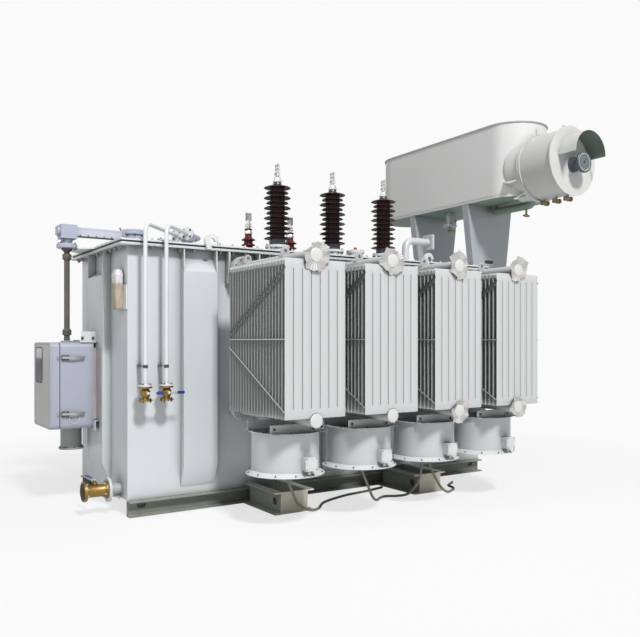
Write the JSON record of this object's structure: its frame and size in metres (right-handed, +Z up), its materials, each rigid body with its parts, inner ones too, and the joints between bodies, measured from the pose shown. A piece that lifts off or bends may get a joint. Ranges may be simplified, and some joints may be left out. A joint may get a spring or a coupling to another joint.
{
  "type": "oil-filled power transformer",
  "caption": "Oil-filled power transformer: ribbed tank on a skid, panel radiators with fans, bushings, conservator with dial gauge and a shaft-driven tap changer.",
  "frame": {"origin": "centre of the object's bounding box in plan, on the ground under the skid", "axes": "+X along the tank towards the conservator, +Y towards the rear, +Z up"},
  "size_m": [5.067, 3.928, 3.7143],
  "materials": {
    "skid_paint": "matt grey paint on rolled steel, dusty near the ground",
    "tank_paint": "semi-gloss light bluish grey paint on welded steel plate",
    "radiator_paint": "semi-gloss pale grey paint on pressed steel sheet",
    "fan_paint": "semi-gloss grey-green paint on sheet steel",
    "brown_porcelain": "glossy dark brown glaze",
    "red_porcelain": "glossy dark red glaze",
    "cover_fittings": "pale grey paint on cast and welded fittings",
    "drive_paint": "lilac-grey powder coat on cast aluminium",
    "drive_shaft": "dark brown primer on a square steel shaft",
    "brass": "machined brass, slightly dull",
    "lever_blue": "blue plastic-dipped steel",
    "gauge_dark": "dark painted case with a dial behind glass",
    "wrapping_paper": "creased brown paper with clear film over it",
    "cable_grey": "matt grey cable sheath"
  },
  "bodies": {
    "transformer": {"skid_beam_front": "skid_paint", "skid_beam_rear": "skid_paint", "outrigger_left_front": "skid_paint", "outrigger_left_rear": "skid_paint", "outrigger_right_front": "skid_paint", "outrigger_right_rear": "skid_paint", "tank": "tank_paint", "tank_cover": "tank_paint", "radiator_front_1": "radiator_paint", "radiator_front_2": "radiator_paint", "radiator_front_3": "radiator_paint", "radiator_front_4": "radiator_paint", "radiator_rear_1": "radiator_paint", "radiator_rear_2": "radiator_paint", "radiator_rear_3": "radiator_paint", "radiator_rear_4": "radiator_paint", "fan_front_1": "fan_paint", "fan_front_2": "fan_paint", "fan_front_3": "fan_paint", "fan_front_4": "fan_paint", "fan_rear_1": "fan_paint", "fan_rear_2": "fan_paint", "fan_rear_3": "fan_paint", "fan_rear_4": "fan_paint", "tall_bushing_1": "brown_porcelain", "tall_bushing_2": "brown_porcelain", "tall_bushing_3": "brown_porcelain", "short_bushing_1": "red_porcelain", "short_bushing_2": "red_porcelain", "short_bushing_3": "red_porcelain", "pressure_relief_valve": "cover_fittings", "relay_pipe": "cover_fittings", "conservator_body": "tank_paint", "conservator_lid": "tank_paint", "tap_changer_conservator": "tank_paint", "oil_level_gauge": "gauge_dark", "gauge_hood": "tank_paint", "conservator_leg_near": "tank_paint", "conservator_leg_far": "tank_paint", "tap_changer_head": "tank_paint", "shaft_guard": "tank_paint", "bevel_gear_box": "drive_paint", "drive_shaft": "drive_shaft", "drive_housing": "drive_paint", "drive_mechanism": "cover_fittings", "cable_duct": "drive_paint", "oil_pipe_left": "radiator_paint", "oil_pipe_right": "radiator_paint", "drain_valve": "brass", "wrapped_instrument": "wrapping_paper", "fan_cable_1": "cable_grey", "fan_cable_2": "cable_grey", "fan_cable_3": "cable_grey"},
    "door": {"drive_door": "drive_paint"},
    "left_lever": {"pipe_lever_left": "lever_blue"},
    "right_lever": {"pipe_lever_right": "lever_blue"},
    "drain_handle": {"drain_lever": "lever_blue"}
  },
  "joints": [
    {"name": "door_hinge", "type": "hinge", "parent": "transformer", "child": "door", "pos_m": [-2.4555, 0.537, 0.6625], "axis": [0, 0, -1], "range_deg": [0, 110]},
    {"name": "left_valve_turn", "type": "hinge", "parent": "transformer", "child": "left_lever", "pos_m": [-1.9785, -0.8613, 0.9955], "axis": [0, -1, 0], "range_deg": [0, 90]},
    {"name": "right_valve_turn", "type": "hinge", "parent": "transformer", "child": "right_lever", "pos_m": [-1.8035, -0.8613, 0.9955], "axis": [0, -1, 0], "range_deg": [0, 90]},
    {"name": "drain_valve_turn", "type": "hinge", "parent": "transformer", "child": "drain_handle", "pos_m": [-2.2795, -0.463, 0.2853], "axis": [0, 0, 1], "range_deg": [0, 90]}
  ]
}
